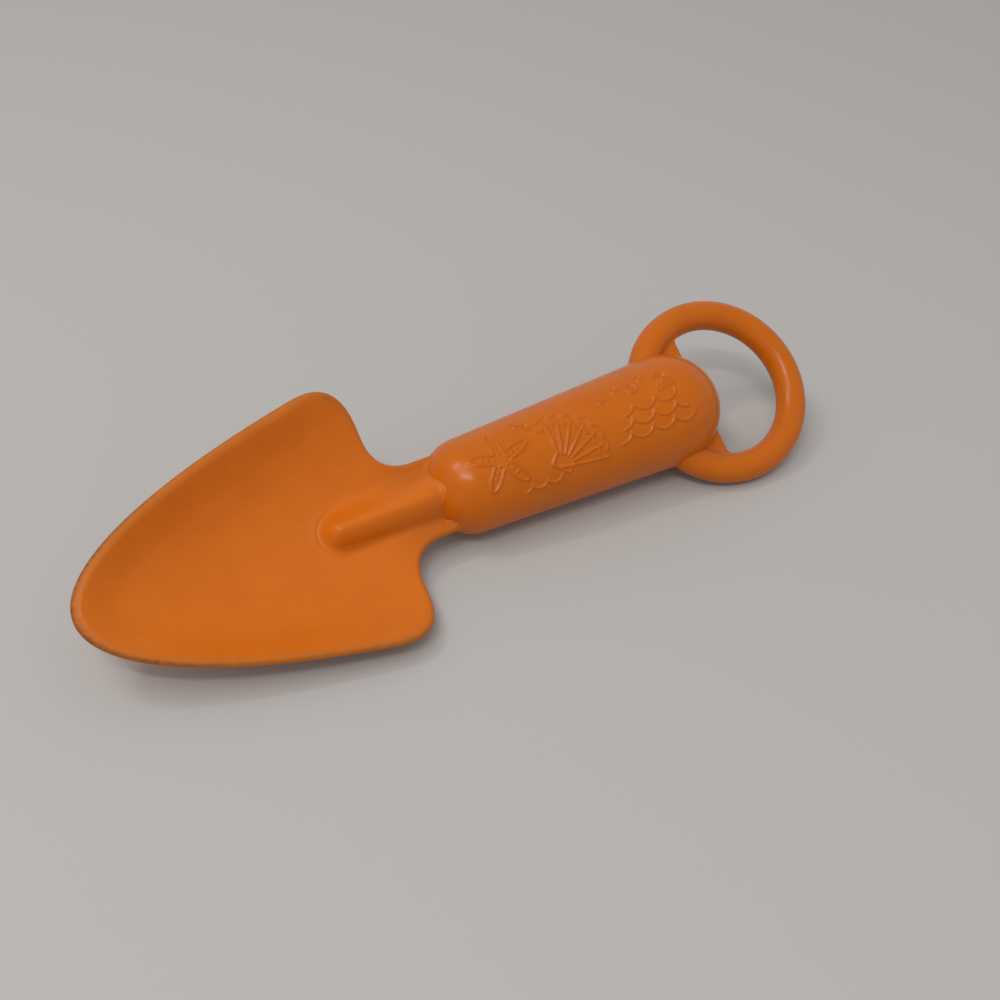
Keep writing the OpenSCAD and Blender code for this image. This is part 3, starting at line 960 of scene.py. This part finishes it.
@dataclass
class Grip:
    """Fat tapered grip of two half shells, with a seaside relief moulded into the upper one."""

    pose: RestPose
    sizes: GripSizes
    seam_depth: float = 0.1
    seam_width: float = 0.22
    seam_shares: Triple = (0.0, 0.35, 1.0)
    relief_height: float = 0.45
    stroke_half: float = 0.5
    round_rows: int = 40
    relief_rows: int = 285
    relief_turns: int = 200
    plain_rows: int = 60
    plain_turns: int = 90
    lining_turns: int = 24

    def _places(self, shrink: float, side_rows: int) -> Array:
        """Profile of the grip from the shoulder's pole to the dome's pole.

        Args:
            shrink: Depth of the surface under the skin.
            side_rows: Rows along the straight side.

        Returns:
            Place along X and radius of each point.
        """
        lean, s = self.sizes.taper, self.sizes
        shoulder, dome = s.shoulder_radius - shrink, s.dome_radius - shrink
        first = np.linspace(-np.pi / 2, -lean, self.round_rows)
        last = np.linspace(-lean, np.pi / 2, self.round_rows)
        ball = np.column_stack((
            s.shoulder_centre + shoulder * np.sin(first), shoulder * np.cos(first)))
        cap = np.column_stack((s.dome_centre + dome * np.sin(last), dome * np.cos(last)))
        t = np.linspace(0, 1, side_rows)[1:-1, None]
        places = np.vstack((ball, ball[-1] + (cap[0] - ball[-1]) * t, cap))
        places[[0, -1], 1] = 0
        return places

    def _half(self, name: str, side: int, side_rows: int, turn_steps: int) -> Object:
        """Builds one half shell as a closed wall with a slightly rounded lip at the seam.

        Args:
            name: Name of the piece.
            side: 1 for the upper half, -1 for the lower one.
            side_rows: Rows along the straight side.
            turn_steps: Steps round the skin.

        Returns:
            The shell.
        """
        lip = np.array(self.seam_shares) * self.seam_width / self.sizes.dome_radius
        skin_turns = np.concatenate((
            lip, np.linspace(0, np.pi, turn_steps)[1:-1], np.pi - lip[::-1]))
        near = np.minimum(skin_turns, np.pi - skin_turns) * self.sizes.dome_radius
        sunk = self.seam_depth * (1 - np.clip(near / self.seam_width, 0, 1)) ** 2
        lining_turns = np.linspace(0, np.pi, self.lining_turns)
        points, walls, start = [], [], 0
        for shrink, turns, drop in ((0.0, skin_turns, sunk),
                                    (self.sizes.wall, lining_turns, 0 * lining_turns)):
            places = self._places(shrink, side_rows)
            radius = np.maximum(places[:, 1:] - drop * (places[:, 1:] > 0), 0)
            grid = np.dstack((np.repeat(places[:, :1], len(turns), 1), radius * np.cos(turns),
                              side * radius * np.sin(turns)))
            points.append(grid.reshape(-1, 3))
            walls.append(start + np.arange(len(points[-1])).reshape(grid.shape[:2]))
            start += len(points[-1])
        skin, lining = walls
        faces = grid_faces(skin) + grid_faces(lining)
        for end in (0, -1):
            faces += grid_faces(np.stack((skin[:, end], lining[:, end])))
        return new_piece(name, self.pose.place(np.vstack(points)), faces)

    def build(self, finish: Material) -> list[Object]:
        """Builds both shells, raises the relief and dresses them.

        Args:
            finish: Material of the shells.

        Returns:
            The upper and the lower shell.
        """
        upper = self._half("grip_upper_shell", 1, self.relief_rows, self.relief_turns)
        lower = self._half("grip_lower_shell", -1, self.plain_rows, self.plain_turns)
        drawing = SeasideDrawing(self.sizes).build(self.pose)
        bake_tree(upper, self._relief_tree(finish), {
            "Drawing": drawing, "Stroke": self.stroke_half * MM,
            "Height": self.relief_height * MM})
        bpy.data.objects.remove(drawing)
        lower.data.materials.append(finish)
        stand_in(upper, "upper_shell")
        stand_in(lower, "lower_shell")
        return [upper, lower]

    def _relief_tree(self, finish: Material) -> NodeTree:
        """Makes the tree that raises soft ridges under a line drawing.

        Args:
            finish: Material of the shell.

        Returns:
            The tree, with inputs for the drawing, the stroke's half width and its height.
        """
        tree, start, shape = new_tree("raised_relief", {
            "Drawing": "NodeSocketObject", "Stroke": "NodeSocketFloat",
            "Height": "NodeSocketFloat"}, finish)
        lines = add_node(tree, "GeometryNodeObjectInfo", {"Object": start.outputs["Drawing"]})
        near = add_node(tree, "GeometryNodeProximity", {
            0: lines.outputs["Geometry"]}, target_element="EDGES")
        ridge = add_node(tree, "ShaderNodeMapRange", {
            "Value": near.outputs["Distance"], "From Min": 0.0,
            "From Max": start.outputs["Stroke"], "To Min": start.outputs["Height"],
            "To Max": 0.0}, interpolation_type="SMOOTHSTEP")
        normal = add_node(tree, "GeometryNodeInputNormal")
        lift = add_node(tree, "ShaderNodeVectorMath", {
            0: normal.outputs["Normal"], "Scale": ridge.outputs["Result"]}, operation="SCALE")
        raised = add_node(tree, "GeometryNodeSetPosition", {
            "Geometry": start.outputs["Geometry"], "Offset": lift.outputs["Vector"]})
        tree.links.new(raised.outputs["Geometry"], shape)
        return tree


# The ring's distance rule: each line names a value, a sum and what it is worked out from.
RING_RULE = (
    ("xx", "MULTIPLY", "X", "X"),
    ("yy", "MULTIPLY", "Y", "Y"),
    ("zz", "MULTIPLY", "Z", "Z"),
    ("flat_square", "ADD", "xx", "yy"),
    ("out", "SQRT", "flat_square"),
    ("gap", "SUBTRACT", "out", "Radius"),
    ("gap_square", "MULTIPLY", "gap", "gap"),
    ("core_square", "ADD", "gap_square", "zz"),
    ("core", "SQRT", "core_square"),
    ("thick", "ADD", "Rod", "swell"),
    ("rod", "SUBTRACT", "core", "thick"),
    ("height", "ABSOLUTE", "Z"),
    ("flat", "SUBTRACT", "height", "Web Half"),
    ("past_edge", "SUBTRACT", "X", "Web Edge"),
    ("plate", "SMOOTH_MAX", "flat", "past_edge", "Blend"),
    ("web", "MAXIMUM", "plate", "gap"),
    ("whole", "SMOOTH_MIN", "rod", "web", "Blend"),
    ("depth", "DIVIDE", "whole", "haze"),
    ("density", "SUBTRACT", "skin", "depth"),
)


@dataclass
class PullRing:
    """Round rod ring whose roots swell into the dome, with a thin web in its inner corners."""

    pose: RestPose
    sizes: RingSizes
    flare: float = 0.15
    slim: float = 0.12
    flare_from: float = -5.0
    flare_to: float = -17.0
    blend: float = 1.6
    voxel: float = 0.34
    haze_voxels: float = 4.0
    skin_density: float = 0.5
    margin: float = 1.0

    def build(self, finish: Material) -> Object:
        """Builds the ring from its rule and dresses it.

        Args:
            finish: Material of the ring.

        Returns:
            The ring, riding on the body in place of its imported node.
        """
        piece = add_object("pull_ring_moulding", bpy.data.meshes.new("pull_ring_moulding"))
        s = self.sizes
        lengths = {
            "Radius": s.radius, "Rod": s.rod_radius - self.slim, "Web Half": s.web_half,
            "Web Edge": -s.web_edge, "Flare": self.flare, "Flare From": self.flare_from,
            "Flare To": self.flare_to, "Blend": self.blend}
        tree = self._tree(tuple(lengths), finish)
        bake_tree(piece, tree, {name: length * MM for name, length in lengths.items()})
        piece.data.transform(self.pose.matrix())
        piece.data.shade_smooth()
        stand_in(piece, "pull_ring")
        return piece

    def _tree(self, names: tuple[str, ...], finish: Material) -> NodeTree:
        """Makes the tree that blends the rod and the web by their distance rule.

        Args:
            names: Names of the sizes.
            finish: Material of the ring.

        Returns:
            The tree, with inputs for the sizes in metres.
        """
        kinds = dict.fromkeys(names, "NodeSocketFloat")
        tree, start, shape = new_tree("webbed_ring", kinds, finish)
        values: dict[str, Any] = {name: start.outputs[name] for name in names}
        place = add_node(tree, "GeometryNodeInputPosition").outputs["Position"]
        axes = add_node(tree, "ShaderNodeSeparateXYZ", {"Vector": place}).outputs
        values |= {axis: axes[axis] for axis in "XYZ"}
        values["swell"] = add_node(tree, "ShaderNodeMapRange", {
            "Value": axes["X"], "From Min": values["Flare From"], "From Max": values["Flare To"],
            "To Min": 0.0, "To Max": values["Flare"]},
            interpolation_type="SMOOTHSTEP").outputs["Result"]
        values |= {"haze": self.haze_voxels * self.voxel * MM, "skin": self.skin_density}
        for name, operation, *inputs in RING_RULE:
            feeds = {number: values[feed] for number, feed in enumerate(inputs)}
            values[name] = add_node(
                tree, "ShaderNodeMath", feeds, operation=operation).outputs["Value"]
        thick = self.sizes.rod_radius + self.flare + self.margin
        reach = (self.sizes.radius + self.sizes.rod_radius + self.flare + self.margin) * MM
        depth, cell = thick * MM, self.voxel * MM
        steps, layers = round(2 * reach / cell), round(2 * depth / cell)
        cube = add_node(tree, "GeometryNodeVolumeCube", {
            "Density": values["density"], "Background": 0.0,
            "Min": (-reach, -reach, -depth), "Max": (reach, reach, depth),
            "Resolution X": steps, "Resolution Y": steps, "Resolution Z": layers})
        skin = add_node(tree, "GeometryNodeVolumeToMesh", {
            "Volume": cube.outputs["Volume"], "Threshold": self.skin_density})
        tree.links.new(skin.outputs["Mesh"], shape)
        return tree


@dataclass(frozen=True)
class SoftBox:
    """An oblong studio lamp, whose long side lies along X before it is swung, in metres."""

    name: str
    place: Triple
    length: float
    width: float
    power: float
    swing: float = 0.0
    aim: Triple = (-0.06, 0.0, 0.0)

    def build(self) -> None:
        """Hangs the lamp and turns it to what it lights."""
        data = bpy.data.lights.new(self.name, "AREA")
        data.shape = "RECTANGLE"
        data.size, data.size_y = self.length, self.width
        data.energy = self.power
        back = (Vector(self.place) - Vector(self.aim)).normalized()
        swing = math.radians(self.swing)
        along = Vector((math.cos(swing), math.sin(swing), 0.0))
        along = (along - back * along.dot(back)).normalized()
        turn = Matrix((along, back.cross(along), back)).transposed()
        lamp = add_object(self.name, data)
        lamp.matrix_world = Matrix.Translation(Vector(self.place)) @ turn.to_4x4()


@dataclass
class Studio:
    """Pale floor, soft lamps and the camera at the photograph's angle."""

    pose: RestPose
    floor_colour: str = "#B4B1AD"
    floor_roughness: float = 0.85
    floor_half: float = 8.0
    sky_colour: str = "#E9E9EA"
    sky_strength: float = 0.7
    lamps: tuple[SoftBox, ...] = (
        SoftBox("window_panel", (-0.35, -0.04, 0.85), length=0.36, width=0.5, power=1.6),
        SoftBox("tube_front", (-0.34, -0.34, 0.85), length=0.4, width=0.06, power=1.9, swing=-41.0),
        SoftBox("tube_back", (-0.42, 0.27, 0.85), length=0.2, width=0.06, power=1.0),
    )
    lens: float = 43.2
    sensor: float = 36.0
    clip: Pair = (0.01, 100.0)
    right: Triple = (0.87043, -0.409767, 0.272843)
    down: Triple = (-0.339081, -0.900831, -0.271161)
    ahead: Triple = (0.356898, 0.14351, -0.923054)
    ring_seen: Triple = (59.0367, -29.7231, 325.676)

    def build(self) -> None:
        """Sets up the whole studio."""
        self._floor()
        self._sky()
        for lamp in self.lamps:
            lamp.build()
        self._camera()
        bpy.context.scene.view_settings.view_transform = "Standard"

    def _floor(self) -> None:
        """Lays a wide floor of matt paper."""
        half = self.floor_half
        corners = [(-half, -half, 0), (half, -half, 0), (half, half, 0), (-half, half, 0)]
        mesh = bpy.data.meshes.new("floor")
        mesh.from_pydata(corners, [], [(0, 1, 2, 3)])
        # Matt paper gives no highlight, so that only the soft shadow shows on it.
        material = bpy.data.materials.new("matt_paper")
        material.use_nodes = True
        shader = material.node_tree.nodes["Principled BSDF"]
        shader.inputs["Base Color"].default_value = linear(self.floor_colour)
        shader.inputs["Roughness"].default_value = self.floor_roughness
        mesh.materials.append(material)
        floor = add_object("floor", mesh)

    def _sky(self) -> None:
        """Fills the room with an even pale light."""
        world = bpy.data.worlds.new("studio_room")
        world.use_nodes = True
        back = world.node_tree.nodes["Background"]
        back.inputs["Color"].default_value = linear(self.sky_colour)
        back.inputs["Strength"].default_value = self.sky_strength
        bpy.context.scene.world = world

    def _camera(self) -> None:
        """Puts the camera where the photograph was taken from."""
        axes = np.array((self.right, self.down, self.ahead))
        place = self.pose.place(-axes.T @ np.array(self.ring_seen))
        right, down, ahead = axes @ self.pose.turn.T
        data = bpy.data.cameras.new("camera")
        data.lens, data.sensor_width = self.lens, self.sensor
        data.clip_start, data.clip_end = self.clip
        camera = add_object("camera", data)
        turn = Matrix((right, -down, -ahead)).transposed()
        camera.matrix_world = Matrix.Translation(Vector(place)) @ turn.to_4x4()
        bpy.context.scene.camera = camera


def main() -> None:
    """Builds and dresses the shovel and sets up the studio."""
    logging.basicConfig(level=logging.INFO, format="%(name)s: %(message)s")
    grip_sizes, ring_sizes = GripSizes(), RingSizes()
    pose = RestPose.from_sizes(grip_sizes, ring_sizes)
    scraped = MouldedPolyethylene("moulded_polyethylene_scraped", Wear.SCRAPED).build()
    # The grip and ring take a darker colour than the blade: painted shade for the weaker light at
    # that end of the shovel.
    handled_and_shaded = MouldedPolyethylene(
        "moulded_polyethylene_handled", Wear.HANDLED, colour="#C96605", deep="#BB5C04").build()
    pieces = [Blade(pose, grip_sizes).build(scraped)]
    pieces += Grip(pose, grip_sizes).build(handled_and_shaded)
    pieces.append(PullRing(pose, ring_sizes).build(handled_and_shaded))
    for piece in pieces:
        LOG.info("%s: %d faces", piece.name, len(piece.data.polygons))
    Studio(pose).build()


if __name__ == "__main__":
    main()
